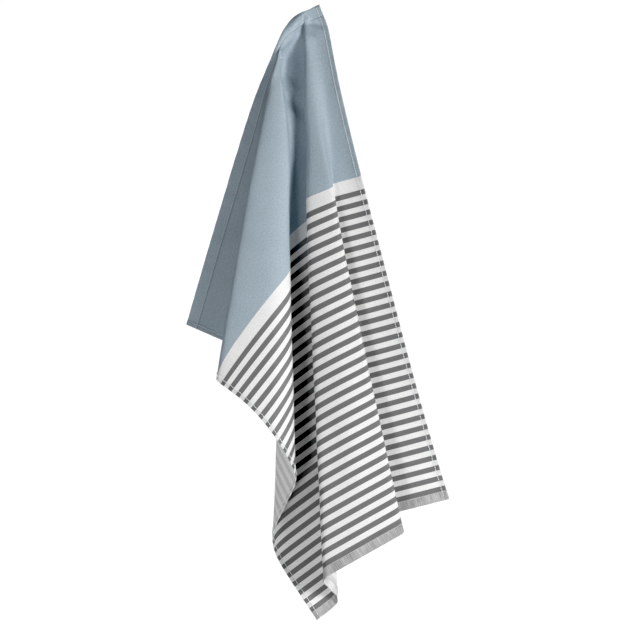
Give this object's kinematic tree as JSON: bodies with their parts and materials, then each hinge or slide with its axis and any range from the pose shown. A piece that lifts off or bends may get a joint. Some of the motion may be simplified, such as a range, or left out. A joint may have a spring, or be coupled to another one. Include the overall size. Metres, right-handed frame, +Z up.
{
  "type": "tea towel",
  "caption": "Striped cotton tea towel hanging from one point near a corner, draped in soft folds, with stitched hems.",
  "frame": {"origin": "the point of the top edge that the towel hangs from", "axes": "+Z up, -Y out of the front of the cloth, +X to the right as seen from the front"},
  "size_m": [0.3624, 0.1025, 0.8473],
  "materials": {
    "cotton": "matt woven cotton"
  },
  "bodies": {
    "root": {"towel": "cotton"}
  },
  "joints": []
}
